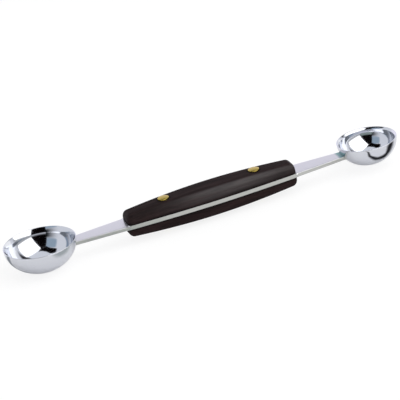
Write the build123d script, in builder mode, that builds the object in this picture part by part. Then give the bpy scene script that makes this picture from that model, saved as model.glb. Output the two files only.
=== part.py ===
from build123d import *
from build123d.topology import SkipClean
from math import asin, degrees, sqrt
import os

os.makedirs("parts", exist_ok=True)

# A double-ended melon baller. A flat steel shank runs the whole length of the tool and
# carries a pressed steel bowl at each end, both mouths facing up. Two dark scales are
# riveted over and under the middle of the shank, whose edge shows between them.
# X runs along the tool towards the small bowl and Z points up, out of the bowls' mouths.
# The origin is midway between the tips, level with the bottom of the large bowl.

# Overall, in millimetres
overall_length = 182.7

# Bowls, measured on the outside of the rim
large_rim_radius = 16.0
large_bowl_depth = 12.85
large_bevel_depth = 2.0
small_rim_radius = 13.45
small_bowl_depth = 11.3
small_bevel_depth = 0.8
bowl_wall = 1.1
rim_land = 0.3
vent_radius = 1.3

# Shank, whose middle plane lies below the rims
rim_rise = 4.35
shank_thickness = 1.75
large_neck_width = 7.0
small_neck_width = 6.4
neck_edge_radius = 0.3

# Handle, over both scales and the shank between them
handle_length = 78.5
handle_shift = 2.8
handle_mid_width = 13.9
handle_end_width = 10.5
handle_mid_height = 13.6
handle_end_height = 10.7
long_edge_radius = 3.5
end_edge_radius = 2.2

# Cutler's rivets, each a cap whose pin is pressed into the barrel of the other half
rivet_pitch = 42.3
rivet_shift = 3.25
rivet_head_radius = 2.5
rivet_seat_depth = 1.1
rivet_head_proud = 0.55
rivet_dome = 0.25
barrel_radius = 1.7
pin_radius = 1.1
barrel_end_gap = 0.3
pin_end_gap = 0.6

# Clearances
hole_clearance = 0.05
press_clearance = 0.02
cut_overrun = 1.0

# Levels: the tool lies on the edge of the large bowl's vent
rim_level = large_bowl_depth * sqrt(1 - (vent_radius / large_rim_radius) ** 2)
shank_level = rim_level - rim_rise
shank_top = shank_level + shank_thickness / 2
shank_bottom = shank_level - shank_thickness / 2

# Places along the tool
large_bowl_x = large_rim_radius - overall_length / 2
small_bowl_x = overall_length / 2 - small_rim_radius
large_neck_x = large_bowl_x + large_rim_radius
small_neck_x = small_bowl_x - small_rim_radius
handle_start = handle_shift - handle_length / 2
handle_end = handle_shift + handle_length / 2
rivet_places = [rivet_shift - rivet_pitch / 2, rivet_shift + rivet_pitch / 2]

# The back of the handle is one flat arc from end to end
handle_crown_rise = (handle_mid_height - handle_end_height) / 2
handle_crown_radius = (handle_length**2 / 4 + handle_crown_rise**2) / (2 * handle_crown_rise)


def handle_half_height(x):
    """Height of the handle's back over the middle of the shank at a place along it."""
    drop = handle_crown_radius - sqrt(handle_crown_radius**2 - (x - handle_shift) ** 2)
    return handle_mid_height / 2 - drop


def bowl_plane(bowl_x):
    """Upright plane through a bowl's axis, with its origin at the centre of the rim."""
    return Plane(origin=(bowl_x, 0, rim_level), x_dir=(1, 0, 0), z_dir=(0, -1, 0))


def bowl_body(bowl_x, rim_radius, depth):
    """The bowl's outer form as a closed solid, for the shank's ends to be fitted to."""
    with BuildPart() as body:
        with BuildSketch(bowl_plane(bowl_x)):
            with BuildLine():
                outside = EllipticalCenterArc((0, 0), rim_radius, depth, 270, arc_size=90)
                Polyline(outside @ 1, (0, 0), outside @ 0)
            make_face()
        revolve(axis=Axis((bowl_x, 0, 0), (0, 0, 1)))
    return body.part


def bowl(bowl_x, rim_radius, depth, bevel_depth):
    """A pressed bowl with an even wall, a rim ground to a bevel inside and a vent below."""
    inner_radius = rim_radius - bowl_wall
    inner_depth = depth - bowl_wall
    bevel_angle = degrees(asin(bevel_depth / inner_depth))
    with BuildPart() as dish:
        with BuildSketch(bowl_plane(bowl_x)):
            with BuildLine():
                outside = EllipticalCenterArc((0, 0), rim_radius, depth, 270, arc_size=90)
                arc_size = 90 - bevel_angle
                inside = EllipticalCenterArc((0, 0), inner_radius, inner_depth, 270, arc_size=arc_size)
                Polyline(outside @ 1, (rim_radius - rim_land, 0), inside @ 1)
                Line(inside @ 0, outside @ 0)
            make_face()
        revolve(axis=Axis((bowl_x, 0, 0), (0, 0, 1)))
        with Locations((bowl_x, 0, rim_level - inner_depth)):
            Hole(vent_radius, depth=bowl_wall + cut_overrun)
    return dish.part


def half_rivet(rivet_x, side, shaft_corners):
    """Half of a rivet: a low domed head and, below its seat, a turned shaft. Heights run from
    the middle of the shank, upwards where side is -1 and downwards where it is 1."""
    seat_height = handle_half_height(rivet_x) - rivet_seat_depth
    edge_height = handle_half_height(rivet_x) + rivet_head_proud
    half_plane = Plane(origin=(rivet_x, 0, shank_level), x_dir=(1, 0, 0), z_dir=(0, side, 0))
    with BuildPart() as half:
        with BuildSketch(half_plane):
            with BuildLine():
                top = (0, edge_height + rivet_dome)
                dome = TangentArc(top, (rivet_head_radius, edge_height), tangent=(1, 0))
                Polyline(dome @ 1, (rivet_head_radius, seat_height), *shaft_corners, top)
            make_face()
        revolve(axis=Axis((rivet_x, 0, 0), (0, 0, 1)))
    return half.part


# Outline of the shank from above: widest in the middle of the handle, narrowing in one
# smooth curve to each bowl and running on under the rim
with BuildSketch() as shank_outline:
    with BuildLine():
        flank = Spline(
            (large_neck_x, large_neck_width / 2),
            (handle_start, handle_end_width / 2),
            (handle_shift, handle_mid_width / 2),
            (handle_end, handle_end_width / 2),
            (small_neck_x, small_neck_width / 2),
        )
        Polyline(flank @ 0, (large_bowl_x, large_neck_width / 2), (large_bowl_x, 0))
        Polyline(flank @ 1, (small_bowl_x, small_neck_width / 2), (small_bowl_x, 0))
        mirror(about=Plane.XZ)
    make_face()

# The stretch of that outline that the scales cover
with BuildSketch() as grip_outline:
    add(shank_outline.sketch)
    with Locations((handle_shift, 0)):
        Rectangle(handle_length, handle_mid_width + cut_overrun, mode=Mode.INTERSECT)

# Bowls
large_bowl = bowl(large_bowl_x, large_rim_radius, large_bowl_depth, large_bevel_depth)
large_bowl.label = "large_bowl"
export_step(large_bowl, "parts/large_bowl.step")

small_bowl = bowl(small_bowl_x, small_rim_radius, small_bowl_depth, small_bevel_depth)
small_bowl.label = "small_bowl"
export_step(small_bowl, "parts/small_bowl.step")

# The middle of the shank, square-edged between the scales, with a hole for each rivet
with BuildPart() as shank_middle:
    with BuildSketch(Plane.XY.offset(shank_bottom)):
        add(grip_outline.sketch)
    extrude(amount=shank_thickness)
    for rivet_x in rivet_places:
        with Locations((rivet_x, 0, shank_top)):
            Hole(barrel_radius + hole_clearance, depth=shank_thickness)

# Shank: two necks with softened edges, fitted to the outside of the bowls, and the middle.
# The seams at the handle's ends are kept, because a neck's bare flats are what a rack holds.
with BuildPart() as shank:
    for neck_start, neck_end in [(large_bowl_x, handle_start), (handle_end, small_bowl_x)]:
        with BuildSketch(Plane.XY.offset(shank_bottom)):
            add(shank_outline.sketch)
            with Locations(((neck_start + neck_end) / 2, 0)):
                Rectangle(neck_end - neck_start, handle_mid_width, mode=Mode.INTERSECT)
        extrude(amount=shank_thickness)
    cross_edges = shank.edges().filter_by(Axis.Y) + shank.edges().filter_by(Axis.Z)
    fillet(shank.edges() - cross_edges, neck_edge_radius)
    add(bowl_body(large_bowl_x, large_rim_radius, large_bowl_depth), mode=Mode.SUBTRACT)
    add(bowl_body(small_bowl_x, small_rim_radius, small_bowl_depth), mode=Mode.SUBTRACT)
    with SkipClean():
        add(shank_middle.part, clean=False)
shank.part.label = "shank"
export_step(shank.part, "parts/shank.step")

# Upper scale: flush with the shank's edge at the sides, its back one flat arc, rounded
# well along the sides and less at the ends, with a counterbored hole for each rivet
with BuildPart() as upper_scale:
    with BuildSketch(Plane.XY.offset(shank_top)):
        add(grip_outline.sketch)
    extrude(amount=handle_mid_height / 2)
    with BuildSketch(Plane.XZ):
        with BuildLine():
            back = ThreePointArc(
                (handle_start, shank_level + handle_end_height / 2),
                (handle_shift, shank_level + handle_mid_height / 2),
                (handle_end, shank_level + handle_end_height / 2),
            )
            Polyline(back @ 1, (handle_end, shank_top), (handle_start, shank_top), back @ 0)
        make_face()
    extrude(amount=handle_mid_width, both=True, mode=Mode.INTERSECT)
    back_edges = upper_scale.faces().sort_by(Axis.Z)[-1].edges()
    fillet(back_edges.sort_by(SortBy.LENGTH)[-2:], long_edge_radius)
    for end_face in [upper_scale.faces().sort_by(Axis.X)[0], upper_scale.faces().sort_by(Axis.X)[-1]]:
        end_edges = end_face.edges()
        fillet(end_edges - end_edges.group_by(Axis.Z)[0], end_edge_radius)
    for rivet_x in rivet_places:
        with Locations((rivet_x, 0, shank_level + handle_half_height(rivet_x))):
            CounterBoreHole(
                barrel_radius + hole_clearance,
                rivet_head_radius + hole_clearance,
                rivet_seat_depth,
                depth=handle_mid_height / 2,
            )
upper_scale.part.label = "upper_scale"
export_step(upper_scale.part, "parts/upper_scale.step")

# Lower scale: the same piece on the other face of the shank
with BuildPart() as lower_scale:
    mirror(upper_scale.part, about=Plane.XY.offset(shank_level))
lower_scale.part.label = "lower_scale"
export_step(lower_scale.part, "parts/lower_scale.step")

# Rivets: both halves have a low domed head on a seat in its scale. The upper half's pin
# fills the bore of the lower half's barrel, which passes through both scales and the shank.
for rivet_number, rivet_x in enumerate(rivet_places, start=1):
    seat_height = handle_half_height(rivet_x) - rivet_seat_depth
    barrel_end = seat_height - barrel_end_gap
    bore_radius = pin_radius + press_clearance

    cap = half_rivet(rivet_x, -1, [(pin_radius, seat_height), (pin_radius, pin_end_gap - seat_height),
                                   (0, pin_end_gap - seat_height)])
    cap.label = f"rivet_cap_{rivet_number}"
    export_step(cap, f"parts/rivet_cap_{rivet_number}.step")

    barrel = half_rivet(rivet_x, 1, [(barrel_radius, seat_height), (barrel_radius, -barrel_end),
                                     (bore_radius, -barrel_end), (bore_radius, seat_height),
                                     (0, seat_height)])
    barrel.label = f"rivet_barrel_{rivet_number}"
    export_step(barrel, f"parts/rivet_barrel_{rivet_number}.step")
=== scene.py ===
from math import acos, asin, cos, pi, radians, sin, sqrt

import bmesh
import bpy
from bpy.props import FloatProperty, FloatVectorProperty, IntProperty, PointerProperty
from mathutils import Matrix, Vector


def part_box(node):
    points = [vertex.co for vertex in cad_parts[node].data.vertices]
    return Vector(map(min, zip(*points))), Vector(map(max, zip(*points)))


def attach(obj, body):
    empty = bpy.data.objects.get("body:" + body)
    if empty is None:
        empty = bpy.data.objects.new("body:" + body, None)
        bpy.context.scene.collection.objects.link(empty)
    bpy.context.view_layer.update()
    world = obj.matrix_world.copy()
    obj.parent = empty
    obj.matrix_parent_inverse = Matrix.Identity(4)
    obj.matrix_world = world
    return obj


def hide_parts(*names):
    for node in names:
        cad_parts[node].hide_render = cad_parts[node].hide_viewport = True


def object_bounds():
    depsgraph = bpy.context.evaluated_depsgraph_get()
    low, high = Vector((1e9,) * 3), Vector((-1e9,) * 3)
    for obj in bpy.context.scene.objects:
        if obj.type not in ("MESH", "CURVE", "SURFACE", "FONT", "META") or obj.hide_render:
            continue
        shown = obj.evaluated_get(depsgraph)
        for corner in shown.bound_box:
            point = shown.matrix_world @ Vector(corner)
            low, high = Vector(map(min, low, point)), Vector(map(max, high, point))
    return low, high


bl_info = {
    "name": "Melon Baller",
    "version": (1, 0, 0),
    "blender": (4, 5, 0),
    "location": "3D View > Sidebar > Melon Baller",
    "description": "Dresses a double-ended melon baller: steel bowls and shank, dark riveted scales",
    "category": "Object",
}

MM = 0.001
# Nearer to each other than this, two places count as one
TOUCH = 0.01 * MM

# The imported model. Every size that it holds is read from it.
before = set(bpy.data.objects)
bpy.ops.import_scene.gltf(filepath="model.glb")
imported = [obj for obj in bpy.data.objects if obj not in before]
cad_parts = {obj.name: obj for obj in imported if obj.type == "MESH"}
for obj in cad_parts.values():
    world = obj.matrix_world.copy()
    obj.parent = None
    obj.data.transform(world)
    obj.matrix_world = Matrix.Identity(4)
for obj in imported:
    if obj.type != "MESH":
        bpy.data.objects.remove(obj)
cad_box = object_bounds()
large_low, large_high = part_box("large_bowl")
small_low, small_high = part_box("small_bowl")
shank_low, shank_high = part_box("shank")
scale_low, scale_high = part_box("upper_scale")
cap_low, cap_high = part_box("rivet_cap_1")
far_cap_low, far_cap_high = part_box("rivet_cap_2")


def linear(hex_code):
    """The linear colour of an sRGB hex code such as 8A8F94."""
    parts = [int(hex_code[place:place + 2], 16) / 255 for place in (0, 2, 4)]
    return [part / 12.92 if part <= 0.04045 else ((part + 0.055) / 1.055) ** 2.4 for part in parts]


class BallerSizes(bpy.types.PropertyGroup):
    """Sizes of the pieces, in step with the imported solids"""

    large_rim: FloatProperty(
        name="Large rim", description="Outer radius of the large bowl's rim",
        default=large_high.y, unit="LENGTH")
    large_depth: FloatProperty(
        name="Large depth", description="Depth of the large bowl as a whole half ellipsoid",
        default=12.85 * MM, unit="LENGTH")
    small_rim: FloatProperty(
        name="Small rim", description="Outer radius of the small bowl's rim",
        default=small_high.y, unit="LENGTH")
    small_depth: FloatProperty(
        name="Small depth", description="Depth of the small bowl as a whole half ellipsoid",
        default=11.3 * MM, unit="LENGTH")
    wall: FloatProperty(
        name="Wall", description="Thickness of the pressed bowls",
        default=1.1 * MM, unit="LENGTH")
    land: FloatProperty(
        name="Rim land", description="Flat width left on top of each rim",
        default=0.3 * MM, unit="LENGTH")
    large_bevel: FloatProperty(
        name="Large bevel", description="Depth of the bevel ground inside the large rim",
        default=2.0 * MM, unit="LENGTH")
    small_bevel: FloatProperty(
        name="Small bevel", description="Depth of the bevel ground inside the small rim",
        default=0.8 * MM, unit="LENGTH")
    vent: FloatProperty(
        name="Vent", description="Radius of the hole in the bottom of each bowl",
        default=1.3 * MM, unit="LENGTH")
    rim_softness: FloatProperty(
        name="Rim softness", description="Rounding that polishing leaves on the rim's edges",
        default=0.12 * MM, unit="LENGTH")
    neck_edge: FloatProperty(
        name="Neck edge", description="Rounding of the long edges of the bare necks",
        default=0.3 * MM, unit="LENGTH")
    large_neck: FloatProperty(
        name="Large neck", description="Half the shank's width at the large bowl",
        default=3.5 * MM, unit="LENGTH")
    small_neck: FloatProperty(
        name="Small neck", description="Half the shank's width at the small bowl",
        default=3.2 * MM, unit="LENGTH")
    handle_end: FloatProperty(
        name="Handle end", description="Half the handle's width at its ends",
        default=5.25 * MM, unit="LENGTH")
    long_edge: FloatProperty(
        name="Long edge", description="Rounding of the long edges of a scale's back",
        default=3.5 * MM, unit="LENGTH")
    end_edge: FloatProperty(
        name="End edge", description="Rounding of the edges of a scale's ends",
        default=2.2 * MM, unit="LENGTH")
    end_height: FloatProperty(
        name="End height", description="Height of a scale's back over the shank at its ends",
        default=4.475 * MM, unit="LENGTH")
    seam_edge: FloatProperty(
        name="Seam edge", description="Rounding of a scale where it meets the shank",
        default=0.15 * MM, unit="LENGTH")
    head: FloatProperty(
        name="Rivet head", description="Radius of a rivet's head",
        default=(cap_high.x - cap_low.x) / 2, unit="LENGTH")
    head_proud: FloatProperty(
        name="Head edge", description="How far the edge of a head stands over the scale",
        default=0.55 * MM, unit="LENGTH")
    head_dome: FloatProperty(
        name="Head dome", description="Rise of a head from its edge to its middle",
        default=0.25 * MM, unit="LENGTH")
    seat: FloatProperty(
        name="Rivet seat", description="Depth of the counterbore under a head",
        default=1.1 * MM, unit="LENGTH")
    barrel: FloatProperty(
        name="Barrel", description="Radius of a rivet's hollow half",
        default=1.7 * MM, unit="LENGTH")
    pin: FloatProperty(
        name="Pin", description="Radius of a rivet's solid half",
        default=1.1 * MM, unit="LENGTH")
    pin_gap: FloatProperty(
        name="Pin gap", description="From the end of a pin to the seat of the other half",
        default=0.6 * MM, unit="LENGTH")
    barrel_gap: FloatProperty(
        name="Barrel gap", description="From the end of a barrel to the seat of the other half",
        default=0.3 * MM, unit="LENGTH")
    press_gap: FloatProperty(
        name="Press gap", description="Gap between a pin and the bore of its barrel",
        default=0.02 * MM, unit="LENGTH")
    head_softness: FloatProperty(
        name="Head softness", description="Rounding that polishing leaves on a rivet's edges",
        default=0.12 * MM, unit="LENGTH")
    hole_gap: FloatProperty(
        name="Hole gap", description="Gap between a rivet and the wood round it",
        default=0.05 * MM, unit="LENGTH")
    round_steps: IntProperty(
        name="Round steps", description="Points on each circle of a bowl",
        default=192, min=24, max=512)


class BallerFinishes(bpy.types.PropertyGroup):
    """Colours and polish of the materials"""

    bowl_steel: FloatVectorProperty(
        name="Bowl steel", description="Colour of the polished bowls",
        default=linear("DADCE2"), subtype="COLOR", size=3, min=0, max=1)
    bowl_roughness: FloatProperty(
        name="Bowl roughness", description="Roughness of the polished bowls",
        default=0.09, min=0, max=1, subtype="FACTOR")
    shank_steel: FloatVectorProperty(
        name="Shank steel", description="Colour of the satin shank",
        default=linear("D8D8DC"), subtype="COLOR", size=3, min=0, max=1)
    shaded_edge_steel: FloatVectorProperty(
        name="Edge steel", description="Colour of the shank's sheared edges",
        default=linear("C4C5C0"), subtype="COLOR", size=3, min=0, max=1)
    shank_roughness: FloatProperty(
        name="Shank roughness", description="Roughness of the satin shank",
        default=0.32, min=0, max=1, subtype="FACTOR")
    painted_neck_reflection: FloatVectorProperty(
        name="Painted neck reflection", description="Tint of the neck near the small bowl",
        default=linear("92BDB8"), subtype="COLOR", size=3, min=0, max=1)
    painted_neck_shade: FloatVectorProperty(
        name="Painted neck shade", description="Tint of the same neck at the bowl's seam",
        default=linear("6A7076"), subtype="COLOR", size=3, min=0, max=1)
    wood_dark: FloatVectorProperty(
        name="Wood, dark", description="Colour of the dark veneers",
        default=linear("160B0B"), subtype="COLOR", size=3, min=0, max=1)
    wood_light: FloatVectorProperty(
        name="Wood, light", description="Colour of the light veneers",
        default=linear("2E1F1F"), subtype="COLOR", size=3, min=0, max=1)
    wood_roughness: FloatProperty(
        name="Wood roughness", description="Roughness of the scales under their polish",
        default=0.85, min=0, max=1, subtype="FACTOR")
    wood_specular: FloatProperty(
        name="Wood specular", description="How much light the open grain throws back",
        default=0.16, min=0, max=1, subtype="FACTOR")
    polish_roughness: FloatProperty(
        name="Polish roughness", description="Roughness of the polish on the scales' upper edges",
        default=0.38, min=0, max=1, subtype="FACTOR")
    brass: FloatVectorProperty(
        name="Brass", description="Colour of the rivets",
        default=linear("B9A24E"), subtype="COLOR", size=3, min=0, max=1)
    brass_roughness: FloatProperty(
        name="Brass roughness", description="Roughness of the rivets",
        default=0.22, min=0, max=1, subtype="FACTOR")


class BallerStage(bpy.types.PropertyGroup):
    """Camera and light"""

    azimuth: FloatProperty(
        name="Azimuth", description="Where the camera stands round the tool",
        default=radians(-14.99), subtype="ANGLE", unit="ROTATION")
    elevation: FloatProperty(
        name="Elevation", description="Height of the camera over the horizon",
        default=radians(23.44), subtype="ANGLE", unit="ROTATION")
    roll: FloatProperty(
        name="Roll", description="Turn of the picture, right side up",
        default=radians(11.51), subtype="ANGLE", unit="ROTATION")
    distance: FloatProperty(
        name="Distance", description="From the camera to the point it aims at",
        default=1173.7 * MM, unit="LENGTH")
    lens: FloatProperty(
        name="Lens", description="Focal length on a 36 mm sensor, in millimetres",
        default=243.0, min=1)
    aim: FloatVectorProperty(
        name="Aim", description="Point in the middle of the picture",
        default=(-1.634 * MM, 1.260 * MM, 8.344 * MM), subtype="TRANSLATION", unit="LENGTH", size=3)
    floor_glow: FloatProperty(
        name="Floor glow", description="Glow of the floor to the camera",
        default=0.84, min=0)
    floor_mirrored: FloatProperty(
        name="Floor mirrored", description="Glow of the floor in the metal",
        default=0.15, min=0)
    floor_color: FloatVectorProperty(
        name="Floor colour", description="Colour of the floor for the tool over it",
        default=(0.80, 0.80, 0.81), subtype="COLOR", size=3, min=0, max=1)
    floor_shade: FloatVectorProperty(
        name="Floor shade", description="Colour that the camera sees shadows fall on",
        default=(0.2, 0.2, 0.2), subtype="COLOR", size=3, min=0, max=1)
    room_light: FloatVectorProperty(
        name="Room light", description="Colour of the room's light",
        default=(0.6, 0.6, 0.61), subtype="COLOR", size=3, min=0, max=1)
    room_mirrored: FloatVectorProperty(
        name="Room mirrored", description="Colour of the room in the metal",
        default=(0.80, 0.82, 0.87), subtype="COLOR", size=3, min=0, max=1)
    second_grey: FloatVectorProperty(
        name="Second grey", description="The darkest that a card gets in a second reflection",
        default=linear("888C90"), subtype="COLOR", size=3, min=0, max=1)


# Places along the tool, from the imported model
large_x = (large_low.x + large_high.x) / 2
small_x = (small_low.x + small_high.x) / 2
rim_level = large_high.z
handle_middle = (scale_low.x + scale_high.x) / 2
shank_middle = (shank_low.z + shank_high.z) / 2
shank_thickness = shank_high.z - shank_low.z
rivet_places = [(cap_low.x + cap_high.x) / 2, (far_cap_low.x + far_cap_high.x) / 2]


def half_widths():
    """Stations along the shank, from bowl to bowl, with half its width at each."""
    sizes = bpy.context.scene.baller_sizes
    return [
        (large_x + sizes.large_rim, sizes.large_neck),
        (scale_low.x, sizes.handle_end),
        (handle_middle, scale_high.y),
        (scale_high.x, sizes.handle_end),
        (small_x - sizes.small_rim, sizes.small_neck),
    ]


def slope(stations, place):
    """Slope of the parabola through a station and its neighbours, at that station."""
    middle = min(max(place, 1), len(stations) - 2)
    (x0, y0), (x1, y1), (x2, y2) = stations[middle - 1:middle + 2]
    x = stations[place][0]
    return (y0 * (2 * x - x1 - x2) / ((x0 - x1) * (x0 - x2))
            + y1 * (2 * x - x0 - x2) / ((x1 - x0) * (x1 - x2))
            + y2 * (2 * x - x0 - x1) / ((x2 - x0) * (x2 - x1)))


def half_width(x):
    """Half the shank's width at a place along it: one smooth curve through the stations."""
    stations = half_widths()
    x = min(max(x, stations[0][0]), stations[-1][0])
    first = max(place for place in range(len(stations) - 1) if stations[place][0] <= x)
    (x0, y0), (x1, y1) = stations[first:first + 2]
    step = x1 - x0
    part = (x - x0) / step
    return (y0 * (1 + 2 * part) * (1 - part) ** 2 + y1 * part * part * (3 - 2 * part)
            + slope(stations, first) * step * part * (1 - part) ** 2
            - slope(stations, first + 1) * step * part * part * (1 - part))


def back_height(x):
    """Height of a scale's back over the shank at a place along it: one flat arc."""
    sizes = bpy.context.scene.baller_sizes
    half_length = (scale_high.x - scale_low.x) / 2
    crown = scale_high.z - scale_low.z
    rise = crown - sizes.end_height
    bend = (half_length ** 2 + rise ** 2) / (2 * rise)
    return crown - bend + sqrt(bend ** 2 - (x - handle_middle) ** 2)


def start_piece():
    """Leaves nothing selected, so that the next primitive is shaped alone."""
    bpy.ops.object.select_all(action="DESELECT")


def select_points(piece, passes):
    """Selects the points of the piece in edit mode whose place passes, with what lies between."""
    bpy.ops.mesh.select_mode(type="VERT")
    bpy.ops.mesh.select_all(action="DESELECT")
    shape = bmesh.from_edit_mesh(piece.data)
    for point in shape.verts:
        point.select = passes(point.co)
    shape.select_flush_mode()
    bmesh.update_edit_mesh(piece.data)


def select_edges(piece, passes):
    """Selects the edges of the piece in edit mode that pass."""
    bpy.ops.mesh.select_mode(type="EDGE")
    bpy.ops.mesh.select_all(action="DESELECT")
    shape = bmesh.from_edit_mesh(piece.data)
    for edge in shape.edges:
        edge.select = passes(edge)
    bmesh.update_edit_mesh(piece.data)


def turn(x, rings, steps, name):
    """Turns a piece on an upright axis: a circle is drawn from ring to ring, as on a lathe.
    Rings are (radius, height). A first or last ring of a hair's width is left open here, and merging
    close points closes it later."""
    start_piece()
    radius, height = rings[0]
    bpy.ops.mesh.primitive_circle_add(vertices=steps, radius=radius, location=(x, 0, height),
                                      fill_type="NOTHING")
    piece = bpy.context.object
    piece.name = piece.data.name = name
    bpy.ops.object.transform_apply(location=True, rotation=True, scale=True)
    bpy.ops.object.mode_set(mode="EDIT")
    bpy.ops.mesh.select_mode(type="VERT")
    bpy.ops.mesh.select_all(action="SELECT")
    for next_radius, next_height in rings[1:]:
        bpy.ops.mesh.extrude_edges_move(
            TRANSFORM_OT_translate={"value": (0, 0, next_height - height)})
        grow = next_radius / radius
        bpy.ops.transform.resize(value=(grow, grow, 1), center_override=(x, 0, next_height))
        radius, height = next_radius, next_height
    return piece


def close_and_turn_out(merge_distance=TOUCH):
    """Closes the seams of what is in edit mode, turns its faces outwards and leaves edit mode."""
    bpy.ops.mesh.select_mode(type="VERT")
    bpy.ops.mesh.select_all(action="SELECT")
    bpy.ops.mesh.remove_doubles(threshold=merge_distance)
    bpy.ops.mesh.normals_make_consistent(inside=False)
    bpy.ops.object.mode_set(mode="OBJECT")


def apply_modifier(piece, kind, **settings):
    """Adds a modifier to the piece with its settings and applies it."""
    start_piece()
    piece.select_set(True)
    bpy.context.view_layer.objects.active = piece
    modifier = piece.modifiers.new(kind.title(), kind)
    for setting, value in settings.items():
        setattr(modifier, setting, value)
    bpy.ops.object.modifier_apply(modifier=modifier.name)


def cut(piece, cutter):
    """Cuts the shape of the cutter out of the piece and removes the cutter."""
    apply_modifier(piece, "BOOLEAN", object=cutter, operation="DIFFERENCE", solver="EXACT")
    start_piece()
    cutter.select_set(True)
    bpy.ops.object.delete()


def finish_piece(piece, material, slot, *nodes):
    """Shades the piece, dresses it and sets it on the frame in place of the CAD nodes."""
    start_piece()
    piece.select_set(True)
    bpy.context.view_layer.objects.active = piece
    bpy.ops.object.shade_smooth_by_angle(angle=radians(40))
    piece.data.materials.clear()
    piece.data.materials.append(material)
    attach(piece, "root")
    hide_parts(*nodes)


def add_node(material, kind, sockets=None, **settings):
    """Adds a node with its settings. A socket is given a value, or an output to link."""
    made = material.node_tree.nodes.new(kind)
    for setting, value in settings.items():
        setattr(made, setting, value)
    for socket, value in (sockets or {}).items():
        if isinstance(value, bpy.types.NodeSocket):
            material.node_tree.links.new(value, made.inputs[socket])
        else:
            made.inputs[socket].default_value = value
    return made


def calculate(material, operation, *values):
    """The output of a Math node. Each value is a number or an output."""
    return add_node(material, "ShaderNodeMath", dict(enumerate(values)),
                    operation=operation).outputs[0]


def map_range(material, source, low, high, least=0.0, most=1.0, interpolation_type="LINEAR"):
    """The output of a node that turns low to high of the source into least to most."""
    return add_node(material, "ShaderNodeMapRange", {0: source, 1: low, 2: high, 3: least, 4: most},
                    interpolation_type=interpolation_type).outputs[0]


def mix_colors(material, factor, first, second, blend_type="MIX"):
    """The output of a node that mixes two colours. Each is a value or an output."""
    return add_node(material, "ShaderNodeMix", {0: factor, 6: first, 7: second},
                    data_type="RGBA", blend_type=blend_type).outputs[2]


def long_grain(material, place, length, width, detail):
    """The output of a noise that is drawn out along the tool."""
    lines = add_node(material, "ShaderNodeMapping",
                     {"Vector": place, "Scale": (1 / length, 1 / width, 1 / width)})
    return add_node(material, "ShaderNodeTexNoise",
                    {"Vector": lines.outputs[0], "Scale": 1.0, "Detail": detail}).outputs[0]


def bend_normal(material, surface, height, strength, distance):
    """Lets a pattern of heights bend the light on the surface."""
    bump = add_node(material, "ShaderNodeBump",
                    {"Height": height, "Strength": strength, "Distance": distance})
    material.node_tree.links.new(bump.outputs[0], surface.inputs["Normal"])


def new_material(name, color, metallic, roughness):
    """A material with its surface, still without a pattern, and the place on the object. One that
    was made before comes back alone."""
    material = bpy.data.materials.get(name)
    if material:
        return material, None, None
    material = bpy.data.materials.new(name)
    material.use_nodes = True
    surface = material.node_tree.nodes["Principled BSDF"]
    surface.inputs["Base Color"].default_value = (*color, 1)
    surface.inputs["Metallic"].default_value = metallic
    surface.inputs["Roughness"].default_value = roughness
    place = add_node(material, "ShaderNodeTexCoord")
    return material, surface, place.outputs["Object"]


def mirror_polished_stainless(name, x, finishes):
    """Stainless steel pressed and buffed to a mirror: it shows the room sharply, a little bent
    where the press left the wall uneven."""
    material, surface, place = new_material(name, finishes.bowl_steel, 1, finishes.bowl_roughness)
    if surface is None:
        return material
    centred = add_node(material, "ShaderNodeMapping", {"Vector": place, "Location": (-x, 0, 0)})
    # Unevenness of the pressed wall, about 9 mm from hump to hump
    humps = add_node(material, "ShaderNodeTexNoise",
                     {"Vector": centred.outputs[0], "Scale": 1 / (9 * MM), "Detail": 1.0})
    bend_normal(material, surface, humps.outputs[0], 1.0, 0.02 * MM)
    return material


def satin_stainless(name, finishes):
    """Stainless strip finished along its length with a fine belt: the light spreads in a soft
    streak across the grain."""
    material, surface, place = new_material(name, finishes.shank_steel, 1, finishes.shank_roughness)
    if surface is None:
        return material
    # Belt lines 0.25 mm apart and about 12 mm long, drawn coarser than real ones so that they show
    grain = long_grain(material, place, 12 * MM, 0.25 * MM, 2.0)
    bend_normal(material, surface, grain, 0.5, 0.01 * MM)
    # Painted shade: the sheared edges, which face the floor, are given a darker and greener colour
    # than the faces
    facing = add_node(material, "ShaderNodeSeparateXYZ", {0: place.node.outputs["Normal"]})
    upright = calculate(material, "ABSOLUTE", facing.outputs[2])
    steel = mix_colors(material, upright, (*finishes.shaded_edge_steel, 1), (*finishes.shank_steel, 1))
    # Painted reflection and shade on top of the neck by the small bowl: a blue-green tint that turns
    # dark at the bowl's seam
    spot = add_node(material, "ShaderNodeSeparateXYZ", {0: place})
    bowl_seam_x = small_low.x
    toward_bowl_seam = map_range(material, spot.outputs[0], bowl_seam_x - 1.8 * MM, bowl_seam_x + 2.2 * MM)
    tint = add_node(material, "ShaderNodeValToRGB", {0: toward_bowl_seam})
    bands = tint.color_ramp.elements
    bands[0].color, bands[1].color = (1, 1, 1, 1), (*finishes.painted_neck_shade, 1)
    for position, color in [(0.3, finishes.painted_neck_reflection), (0.5, finishes.painted_neck_reflection),
                            (0.72, finishes.painted_neck_shade)]:
        bands.new(position).color = (*color, 1)
    on_top = map_range(material, facing.outputs[2], 0.5, 0.9)
    tinted = mix_colors(material, on_top, steel, tint.outputs[0], "MULTIPLY")
    material.node_tree.links.new(tinted, surface.inputs["Base Color"])
    return material


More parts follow.
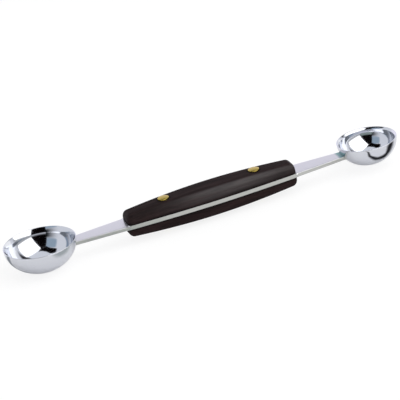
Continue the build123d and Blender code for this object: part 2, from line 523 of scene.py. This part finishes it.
def resin_laminate(name, finishes):
    """Veneers dyed nearly black and pressed with resin: a dull, close grain, with a soft polish
    on the upper edges."""
    material, surface, place = new_material(name, finishes.wood_dark, 0, finishes.wood_roughness)
    if surface is None:
        return material
    # Open grain throws back little light. The polish lies over it as a thin coat
    surface.inputs["Specular IOR Level"].default_value = finishes.wood_specular
    surface.inputs["Coat Roughness"].default_value = finishes.polish_roughness
    # Pores 0.35 mm wide and 6 mm long, and veneers that differ over about 3 by 20 mm
    grain = long_grain(material, place, 6 * MM, 0.35 * MM, 3.0)
    veneers = long_grain(material, place, 20 * MM, 3 * MM, 2.0)
    spread = map_range(material, calculate(material, "MULTIPLY", grain, veneers), 0.12, 0.42)
    tone = mix_colors(material, spread, (*finishes.wood_dark, 1), (*finishes.wood_light, 1))
    # Painted shade: the wood is darker within a millimetre of the steel and of each rivet, where the
    # seam and the rivets' gaps would shade it
    spot = add_node(material, "ShaderNodeSeparateXYZ", {0: place})
    edge = shank_thickness / 2
    height = calculate(material, "ADD", spot.outputs[2], -shank_middle)
    away = calculate(material, "ABSOLUTE", height)
    seam_and_rivet_shade = map_range(material, away, edge, edge + 1.2 * MM, 0.3)
    head = (cap_high.x - cap_low.x) / 2
    for rivet_x in rivet_places:
        beside = add_node(material, "ShaderNodeMapping",
                          {"Vector": place, "Location": (-rivet_x, 0, 0), "Scale": (1, 1, 0)})
        reach = add_node(material, "ShaderNodeVectorMath", {0: beside.outputs[0]},
                         operation="LENGTH")
        ring = map_range(material, reach.outputs["Value"], head, head + 1.0 * MM, 0.2)
        seam_and_rivet_shade = calculate(material, "MULTIPLY", seam_and_rivet_shade, ring)
    shade = mix_colors(material, 1.0, tone, seam_and_rivet_shade, "MULTIPLY")
    material.node_tree.links.new(shade, surface.inputs["Base Color"])
    # The polish: above the shank, off the flat of the back, most in the middle of the handle
    facing = add_node(material, "ShaderNodeSeparateXYZ", {0: place.node.outputs["Normal"]})
    # The polish starts from the painted shade, so it is thinner by the steel and the rivets
    polish = seam_and_rivet_shade
    for source, low, high, least in [(height, edge, edge + 2.5 * MM, 0.0),
                                     (facing.outputs[2], 0.99, 0.85, 0.0),
                                     (spot.outputs[0], -30 * MM, 10 * MM, 0.12),
                                     (spot.outputs[0], 46 * MM, 16 * MM, 0.45),
                                     (veneers, 0.3, 0.6, 0.75)]:
        part = map_range(material, source, low, high, least, 1.0, "SMOOTHSTEP")
        polish = calculate(material, "MULTIPLY", polish, part)
    material.node_tree.links.new(polish, surface.inputs["Coat Weight"])
    bend_normal(material, surface, grain, 0.5, 0.03 * MM)
    return material


def polished_brass(name, finishes):
    """Brass rivets buffed with the handle: a warm, slightly soft shine."""
    material, surface, place = new_material(name, finishes.brass, 1, finishes.brass_roughness)
    if surface is None:
        return material
    # Marks of the buffing, 0.6 mm across
    marks = add_node(material, "ShaderNodeTexNoise",
                     {"Vector": place, "Scale": 1 / (0.6 * MM), "Detail": 2.0})
    bend_normal(material, surface, marks.outputs[0], 0.4, 0.02 * MM)
    return material


def bowl_rings(rim, depth, bevel_depth):
    """Rings of a pressed bowl: up its outside, over the rim and down its inside to the vent."""
    sizes = bpy.context.scene.baller_sizes
    steps = 40
    inner_rim, inner_depth = rim - sizes.wall, depth - sizes.wall
    outer_start = acos(sizes.vent / rim)
    inner_end = acos(sizes.vent / inner_rim)
    bevel_angle = asin(bevel_depth / inner_depth)
    rings = []
    for step in range(steps + 1):
        angle = outer_start * (1 - step / steps)
        rings.append((rim * cos(angle), rim_level - depth * sin(angle)))
    rings.append((rim - sizes.land, rim_level))
    for step in range(steps + 1):
        angle = bevel_angle + (inner_end - bevel_angle) * step / steps
        rings.append((inner_rim * cos(angle), rim_level - inner_depth * sin(angle)))
    rings.append(rings[0])
    return rings


class BALLER_OT_add_bowls(bpy.types.Operator):
    """Adds the two pressed bowls"""

    bl_idname = "baller.add_bowls"
    bl_label = "Add Bowls"

    def execute(self, context):
        sizes = context.scene.baller_sizes
        finishes = context.scene.baller_finishes
        for name, node, x, rim, depth, bevel in [
            ("bowl_large", "large_bowl", large_x,
             sizes.large_rim, sizes.large_depth, sizes.large_bevel),
            ("bowl_small", "small_bowl", small_x,
             sizes.small_rim, sizes.small_depth, sizes.small_bevel),
        ]:
            bowl = turn(x, bowl_rings(rim, depth, bevel), sizes.round_steps, name)
            close_and_turn_out()
            apply_modifier(bowl, "BEVEL", limit_method="ANGLE", angle_limit=radians(25),
                           width=sizes.rim_softness, segments=3)
            steel = mirror_polished_stainless("mirror polished stainless, " + name, x, finishes)
            finish_piece(bowl, steel, "mirror_steel", node)
        return {"FINISHED"}


class BALLER_OT_add_shank(bpy.types.Operator):
    """Adds the flat steel shank, its ends fitted to the bowls"""

    bl_idname = "baller.add_shank"
    bl_label = "Add Shank"

    def execute(self, context):
        sizes = context.scene.baller_sizes
        finishes = context.scene.baller_finishes
        columns = 104
        start_piece()
        bpy.ops.mesh.primitive_grid_add(
            x_subdivisions=columns, y_subdivisions=6, size=1,
            location=((large_x + small_x) / 2, 0, shank_high.z))
        shank = context.object
        shank.name = shank.data.name = "steel_shank"
        shank.scale = (small_x - large_x, 2 * scale_high.y, 1)
        bpy.ops.object.transform_apply(location=True, rotation=True, scale=True)
        bpy.ops.object.mode_set(mode="EDIT")
        # Each column of the grid is drawn in to the outline
        column_step = (small_x - large_x) / columns
        for column in range(columns + 1):
            x = large_x + column * column_step
            select_points(shank, lambda place: abs(place.x - x) < column_step / 4)
            bpy.ops.transform.resize(value=(1, half_width(x) / scale_high.y, 1),
                                     center_override=(x, 0, shank_high.z))
        bpy.ops.mesh.select_all(action="SELECT")
        bpy.ops.mesh.extrude_region_move(TRANSFORM_OT_translate={"value": (0, 0, -shank_thickness)})
        bpy.ops.mesh.select_all(action="SELECT")
        bpy.ops.mesh.normals_make_consistent(inside=False)

        def flank(edge, low, high):
            """Whether an edge runs along the outline, on top or below, between two places."""
            ends = [point.co for point in edge.verts]
            level = abs(ends[0].z - ends[1].z) < shank_thickness / 2
            return level and all(low < end.x < high and abs(end.y) > half_width(end.x) - TOUCH
                                 for end in ends)

        margin = column_step / 2
        for low, high in [(large_x - margin, scale_low.x + margin),
                          (scale_high.x - margin, small_x + margin)]:
            select_edges(shank, lambda edge: flank(edge, low, high))
            bpy.ops.mesh.bevel(offset=sizes.neck_edge, segments=4, affect="EDGES")
        bpy.ops.object.mode_set(mode="OBJECT")
        # The bowls' outer form is cut away, and what the cut leaves inside it goes too
        for x, rim, depth in [(large_x, sizes.large_rim, sizes.large_depth),
                              (small_x, sizes.small_rim, sizes.small_depth)]:
            start_piece()
            bpy.ops.mesh.primitive_uv_sphere_add(segments=sizes.round_steps, ring_count=96, radius=1,
                                                 location=(x, 0, rim_level))
            body = context.object
            body.scale = (rim, rim, depth)
            bpy.ops.object.transform_apply(location=True, rotation=True, scale=True)
            cut(shank, body)
        steel = satin_stainless("satin stainless, belt finished", finishes)
        finish_piece(shank, steel, "polished_steel", "shank")
        return {"FINISHED"}


class BALLER_OT_add_scales(bpy.types.Operator):
    """Adds the two dark scales that are riveted over and under the shank"""

    bl_idname = "baller.add_scales"
    bl_label = "Add Scales"

    def shape_scale(self, context):
        """The upper scale: its end section is drawn along the outline, station by station."""
        sizes = context.scene.baller_sizes
        shank_top = shank_high.z
        x, width, height = scale_low.x, half_width(scale_low.x), back_height(scale_low.x)
        start_piece()
        bpy.ops.mesh.primitive_plane_add(size=2, location=(x, 0, shank_top + height / 2),
                                         rotation=(0, -pi / 2, 0))
        scale = context.object
        scale.scale = (height / 2, width, 1)
        bpy.ops.object.transform_apply(location=True, rotation=True, scale=True)
        bpy.ops.object.mode_set(mode="EDIT")
        # The two upper corners are rounded before the section is drawn out
        select_points(scale, lambda place: place.z > shank_top + height / 2)
        bpy.ops.mesh.bevel(offset=sizes.long_edge, segments=12, affect="VERTICES")
        bpy.ops.mesh.select_mode(type="FACE")
        bpy.ops.mesh.select_all(action="SELECT")
        stations = 36
        length = scale_high.x - scale_low.x
        for station in range(1, stations + 1):
            next_x = scale_low.x + length * station / stations
            bpy.ops.mesh.extrude_region_move(TRANSFORM_OT_translate={"value": (next_x - x, 0, 0)})
            grow, rise = half_width(next_x) - width, back_height(next_x) - height
            x, width, height = next_x, width + grow, height + rise
            near = length / stations / 4
            for side in (-1, 1):
                select_points(scale, lambda place: abs(place.x - x) < near and place.y * side > 0)
                bpy.ops.transform.translate(value=(0, side * grow, 0))
            select_points(scale, lambda place: abs(place.x - x) < near and place.z > shank_top + TOUCH)
            bpy.ops.transform.translate(value=(0, 0, rise))
            select_points(scale, lambda place: abs(place.x - x) < near)
        bpy.ops.mesh.select_all(action="SELECT")
        bpy.ops.mesh.normals_make_consistent(inside=False)

        def end_edge(edge, end_x):
            """Whether an edge borders an end face, save along the shank."""
            ends = [point.co for point in edge.verts]
            return (all(abs(end.x - end_x) < TOUCH for end in ends)
                    and any(end.z > shank_top + TOUCH for end in ends))

        for end_x in (scale_low.x, scale_high.x):
            select_edges(scale, lambda edge: end_edge(edge, end_x))
            bpy.ops.mesh.bevel(offset=sizes.end_edge, segments=8, affect="EDGES")
        bpy.ops.object.mode_set(mode="OBJECT")
        for x in rivet_places:
            back = shank_top + back_height(x)
            for radius, low in [(sizes.head + sizes.hole_gap, back - sizes.seat),
                                (sizes.barrel + sizes.hole_gap, shank_top - sizes.seat)]:
                start_piece()
                high = back + sizes.seat
                bpy.ops.mesh.primitive_cylinder_add(vertices=96, radius=radius, depth=high - low,
                                                    location=(x, 0, (high + low) / 2))
                bpy.ops.object.transform_apply(location=True, rotation=True, scale=True)
                cut(scale, context.object)
        apply_modifier(scale, "BEVEL", limit_method="ANGLE", angle_limit=radians(50),
                       width=sizes.seam_edge, segments=2)
        return scale

    def execute(self, context):
        finishes = context.scene.baller_finishes
        wood = resin_laminate("resin laminate, dyed dark", finishes)
        upper = self.shape_scale(context)
        upper.name = upper.data.name = "scale_upper"
        start_piece()
        upper.select_set(True)
        context.view_layer.objects.active = upper
        bpy.ops.object.duplicate()
        lower = context.object
        lower.name = lower.data.name = "scale_lower"
        bpy.ops.object.mode_set(mode="EDIT")
        bpy.ops.mesh.select_all(action="SELECT")
        bpy.ops.transform.resize(value=(1, 1, -1), center_override=(0, 0, shank_middle))
        bpy.ops.mesh.normals_make_consistent(inside=False)
        bpy.ops.object.mode_set(mode="OBJECT")
        finish_piece(upper, wood, "dark_wood", "upper_scale")
        finish_piece(lower, wood, "dark_wood", "lower_scale")
        return {"FINISHED"}


class BALLER_OT_add_rivets(bpy.types.Operator):
    """Adds the cutler's rivets, each a cap with a pin and a hollow half"""

    bl_idname = "baller.add_rivets"
    bl_label = "Add Rivets"

    def execute(self, context):
        sizes = context.scene.baller_sizes
        finishes = context.scene.baller_finishes
        brass = polished_brass("polished brass", finishes)
        dome_steps, circle_steps = 8, 64
        # A turned piece starts and ends in a circle this small, which is then drawn to a point
        hair = 0.02 * MM
        chord = 2 * hair * sin(pi / circle_steps)
        for number, x in enumerate(rivet_places, start=1):
            back = shank_thickness / 2 + back_height(x)
            edge = back + sizes.head_proud
            dome = []
            for step in range(dome_steps + 1):
                part = max(step / dome_steps, hair / sizes.head)
                dome.append((sizes.head * part, edge + sizes.head_dome * (1 - part * part)))
            seat = back - sizes.seat
            pin_end, barrel_end = sizes.pin_gap - seat, sizes.barrel_gap - seat
            bore = sizes.pin + sizes.press_gap
            cap_shaft = [(sizes.head, seat), (sizes.pin, seat), (sizes.pin, pin_end), (hair, pin_end)]
            barrel_shaft = [(sizes.head, seat), (sizes.barrel, seat), (sizes.barrel, barrel_end),
                            (bore, barrel_end), (bore, seat), (hair, seat)]
            for name, node, side, shaft in [
                (f"brass_cap_{number}", f"rivet_cap_{number}", 1, cap_shaft),
                (f"brass_barrel_{number}", f"rivet_barrel_{number}", -1, barrel_shaft),
            ]:
                rings = [(radius, shank_middle + side * height) for radius, height in dome + shaft]
                rivet = turn(x, rings, circle_steps, name)
                close_and_turn_out(1.25 * chord)
                apply_modifier(rivet, "BEVEL", limit_method="ANGLE", angle_limit=radians(50),
                               width=sizes.head_softness, segments=3)
                finish_piece(rivet, brass, "rivet_brass", node)
        return {"FINISHED"}


class BALLER_OT_set_stage(bpy.types.Operator):
    """Sets the floor, the light and the camera"""

    bl_idname = "baller.set_stage"
    bl_label = "Set Stage"

    def add_floor(self, stage, level):
        """A floor that the camera sees nearly white, with light shadows."""
        start_piece()
        bpy.ops.mesh.primitive_plane_add(size=6, location=(0, 0, level))
        floor = bpy.context.object
        floor.name = "floor"
        white = bpy.data.materials.new("white floor")
        white.use_nodes = True
        surface = white.node_tree.nodes["Principled BSDF"]
        surface.inputs["Specular IOR Level"].default_value = 0
        surface.inputs["Emission Color"].default_value = (1, 1, 1, 1)
        # It glows for the camera and, much less, in the metal, and adds no light of its own
        rays = add_node(white, "ShaderNodeLightPath")
        seen = rays.outputs["Is Camera Ray"]
        mirrored = calculate(white, "MULTIPLY", rays.outputs["Is Glossy Ray"], stage.floor_mirrored)
        glow = calculate(white, "MULTIPLY_ADD", seen, stage.floor_glow, mirrored)
        tone = mix_colors(white, seen, (*stage.floor_color, 1), (*stage.floor_shade, 1))
        white.node_tree.links.new(glow, surface.inputs["Emission Strength"])
        white.node_tree.links.new(tone, surface.inputs["Base Color"])
        floor.data.materials.append(white)

    def add_room(self, stage):
        """A bright room round the stage, white to the camera and a little blue in the metal."""
        world = bpy.data.worlds.new("studio")
        bpy.context.scene.world = world
        world.use_nodes = True
        rays = add_node(world, "ShaderNodeLightPath")
        lit = mix_colors(world, rays.outputs["Is Glossy Ray"],
                         (*stage.room_light, 1), (*stage.room_mirrored, 1))
        tone = mix_colors(world, rays.outputs["Is Camera Ray"], lit, (1, 1, 1, 1))
        background = world.node_tree.nodes["Background"]
        world.node_tree.links.new(tone, background.inputs["Color"])

    def add_card(self, stage, name, color, strength, place, low, high, soft):
        """A card of the studio, hidden from the camera. Its lower and upper edges are given station
        by station from its right end to its left, as numbers that place turns into a point. Soft
        is how much of it fades at the right, the left, below and above."""
        steps = 24
        start_piece()
        bpy.ops.mesh.primitive_grid_add(x_subdivisions=steps, y_subdivisions=steps, size=1)
        card = bpy.context.object
        card.name = card.data.name = name
        edges = [[place(*station) for station in edge] for edge in (low, high)]
        for point in card.data.vertices:
            across = (point.co.x + 0.5) * (len(low) - 1)
            first = min(int(across), len(low) - 2)
            below, above = [edge[first].lerp(edge[first + 1], across - first) for edge in edges]
            point.co = below.lerp(above, point.co.y + 0.5)
        glow = bpy.data.materials.new(name)
        glow.use_nodes = True
        output = glow.node_tree.nodes["Material Output"]
        spread = add_node(glow, "ShaderNodeSeparateXYZ",
                          {0: add_node(glow, "ShaderNodeTexCoord").outputs["UV"]})
        shown = 1.0
        for (axis, start), fade in zip([(0, 0), (0, 1), (1, 0), (1, 1)], soft):
            part = map_range(glow, spread.outputs[axis], start, abs(start - fade),
                             interpolation_type="SMOOTHSTEP")
            shown = calculate(glow, "MULTIPLY", shown, part)
        # In a second reflection a dark card is shown grey, as the photograph's bowls show it
        rays = add_node(glow, "ShaderNodeLightPath")
        twice = calculate(glow, "GREATER_THAN", rays.outputs["Glossy Depth"], 1.5)
        tone = mix_colors(glow, twice, (*linear(color), 1), (*stage.second_grey, 1), "LIGHTEN")
        light = add_node(glow, "ShaderNodeEmission", {"Color": tone, "Strength": strength})
        clear = add_node(glow, "ShaderNodeBsdfTransparent")
        mixed = add_node(glow, "ShaderNodeMixShader",
                         {0: shown, 1: clear.outputs[0], 2: light.outputs[0]})
        glow.node_tree.links.new(mixed.outputs[0], output.inputs["Surface"])
        card.data.materials.append(glow)
        card.visible_camera = False
        # Of the cards, only the softbox lights the room. The others are there to be mirrored
        card.visible_diffuse = card.visible_shadow = name == "softbox"

    def add_cards(self, stage, floor_level):
        """The cards, placed so that the steel shows what it shows in the photograph."""

        def room(distance):
            """Places by azimuth and elevation in degrees, seen from the middle of the tool."""
            def place(azimuth, elevation):
                a, e = radians(azimuth), radians(elevation)
                return Vector((sin(a) * cos(e), -cos(a) * cos(e), sin(e))) * distance
            return place

        def by_bowl(x):
            """Places just over the floor, in millimetres to the right of a bowl and behind it."""
            height = floor_level + 0.2 * MM
            return lambda right, back: Vector((x + right * MM, back * MM, height))

        def over_bowl(x):
            """Places by azimuth and elevation, 60 mm from the middle of a bowl's mouth."""
            towards = room(60 * MM)
            return lambda azimuth, elevation: Vector((x, 0, rim_level)) + towards(azimuth, elevation)

        near, middle, far = [room(distance) for distance in (1.5, 1.8, 2.1)]
        for card in [
            ("softbox", "FFFFFF", 2.0, near,
             [(67, 13), (8, 10)],
             [(111, 53), (-25.6, 71.9)], (0.04, 0.06, 0.14, 0.03)),
            ("grey wall, front", "B8B9BA", 1.0, middle,
             [(80, 0), (44, 0), (6, 0)],
             [(84, 30), (44, 24), (6, 24)], (0.2, 0.05, 0.1, 0.2)),
            ("dark room", "060303", 1.0, middle,
             [(10, 2), (-4, 2), (-22, 2), (-42, 2)],
             [(-20, 73), (-30, 71), (-42, 68), (-54.5, 63.5)], (0.02, 0.03, 0.24, 0.01)),
            ("dark ceiling", "060303", 1.0, middle,
             [(-16, 72), (-40, 68.5), (-54.5, 63), (-75, 64.5), (-90, 62), (-105, 56), (-118, 48.5)],
             [(40, 84), (-22, 84), (-70, 83), (-115, 76), (-136, 68), (-140, 60), (-136, 50)],
             (0.02, 0.05, 0.02, 0.05)),
            ("blue wall", "9CAEBE", 1.0, far,
             [(-43, 24), (-55, 24), (-68, 24), (-76, 25), (-84, 26)],
             [(-54, 64), (-72, 65), (-85, 63), (-98, 57), (-112, 49)], (0.01, 0.2, 0.3, 0.01)),
            ("green corner", "161C1D", 1.0, middle,
             [(-40, 0), (-55, 0), (-72, 0), (-90, 0)],
             [(-43, 36), (-55, 35), (-72, 34), (-92, 33)], (0.01, 0.99, 0.1, 0.4)),
            ("dark side", "241F22", 1.0, middle,
             [(70, 6), (90, 24), (110, 32), (140, 36), (170, 38), (200, 42)],
             [(113, 58), (125, 62), (140, 64), (160, 62), (185, 60), (205, 52)],
             (0.3, 0.3, 0.3, 0.2)),
            ("white wall, right", "FFFFFF", 1.15, far,
             [(82, 0), (100, 0), (135, 0)],
             [(84, 22), (103, 27), (135, 30)], (0.3, 0.3, 0.1, 0.3)),
            ("white sweep, back", "F6F3FF", 1.1, far,
             [(125, -2), (170, -2), (220, -2)],
             [(125, 34), (170, 34), (220, 34)], (0.2, 0.2, 0.01, 0.3)),
            ("grey flag, large bowl", "B4BABA", 1.0, by_bowl(large_x),
             [(4, -46), (22, -42), (52, -34)],
             [(4, -20), (20, -10), (52, -4)], (0.35, 0.35, 0.35, 0.35)),
            # Painted shadow: a grey sheet on the floor behind and left of the large bowl, seen only in
            # the metal, stands in for the bowl's shadow there
            ("painted shadow, left of large bowl", "8E9398", 1.0, by_bowl(large_x),
             [(-9, -8), (-13, 2), (-30, 8), (-60, 25)],
             [(-9, 6), (-16, 14), (-36, 26), (-70, 50)], (0.1, 0.2, 0.3, 0.3)),
            ("green flag, large bowl", "B9C4C0", 1.0, by_bowl(large_x),
             [(34, -30), (60, -30)],
             [(34, 20), (60, 20)], (0.3, 0.3, 0.3, 0.3)),
            ("mauve flag, large bowl", "A4A9C4", 1.0, by_bowl(large_x),
             [(28, 0), (40, 0)],
             [(28, 16), (40, 16)], (0.3, 0.3, 0.3, 0.3)),
            ("dark flag, small bowl", "2A2A2C", 1.0, by_bowl(small_x),
             [(-15, -38), (-8, -30), (-4, -20), (3, -15), (10, -15), (22, -26), (60, -40)],
             [(-21, -35), (-13, -29), (-8, -17), (-2, -10), (6, -5), (18, -2), (60, 6)],
             (0.02, 0.1, 0.4, 0.4)),
            ("green flag, small bowl", "8D9996", 1.0, over_bowl(small_x),
             [(6, 1), (-20, 1), (-54, 1)],
             [(6, 23), (-20, 23), (-54, 23)], (0.1, 0.15, 0.1, 0.4)),
            ("teal flag, small bowl", "5F8A8E", 1.0, by_bowl(small_x),
             [(-14, 5), (-30, 5)],
             [(-14, 18), (-30, 18)], (0.3, 0.3, 0.3, 0.3)),
        ]:
            self.add_card(stage, *card)

    def add_camera(self, stage):
        """The camera of the photograph."""
        a, e, roll = stage.azimuth, stage.elevation, stage.roll
        back = Vector((sin(a) * cos(e), -cos(a) * cos(e), sin(e)))
        level = Vector((cos(a), sin(a), 0))
        upright = back.cross(level)
        right = level * cos(roll) - upright * sin(roll)
        up = level * sin(roll) + upright * cos(roll)
        bpy.ops.object.camera_add()
        camera = bpy.context.object
        turned = Matrix((right, up, back)).transposed().to_4x4()
        camera.matrix_world = Matrix.Translation(Vector(stage.aim) + back * stage.distance) @ turned
        camera.data.lens = stage.lens
        camera.data.sensor_width = 36
        camera.data.clip_start, camera.data.clip_end = 0.1, 20
        bpy.context.scene.camera = camera

    def execute(self, context):
        stage = context.scene.baller_stage
        context.scene.view_settings.view_transform = "Standard"
        floor_level = cad_box[0].z - 0.1 * MM
        self.add_floor(stage, floor_level)
        self.add_room(stage)
        self.add_cards(stage, floor_level)
        self.add_camera(stage)
        return {"FINISHED"}


class BALLER_PT_panel(bpy.types.Panel):
    """Lists the melon baller's pieces and its stage"""

    bl_label = "Melon Baller"
    bl_idname = "BALLER_PT_panel"
    bl_space_type = "VIEW_3D"
    bl_region_type = "UI"
    bl_category = "Melon Baller"

    def draw(self, context):
        for operator in operators:
            self.layout.operator(operator.bl_idname)


operators = [BALLER_OT_add_bowls, BALLER_OT_add_shank, BALLER_OT_add_scales, BALLER_OT_add_rivets,
             BALLER_OT_set_stage]
classes = [BallerSizes, BallerFinishes, BallerStage, *operators, BALLER_PT_panel]


def register():
    for made in classes:
        bpy.utils.register_class(made)
    bpy.types.Scene.baller_sizes = PointerProperty(type=BallerSizes)
    bpy.types.Scene.baller_finishes = PointerProperty(type=BallerFinishes)
    bpy.types.Scene.baller_stage = PointerProperty(type=BallerStage)


def unregister():
    del bpy.types.Scene.baller_stage, bpy.types.Scene.baller_finishes, bpy.types.Scene.baller_sizes
    for made in reversed(classes):
        bpy.utils.unregister_class(made)


def main():
    register()
    bpy.ops.baller.add_bowls()
    bpy.ops.baller.add_shank()
    bpy.ops.baller.add_scales()
    bpy.ops.baller.add_rivets()
    bpy.ops.baller.set_stage()


if __name__ == "__main__":
    main()
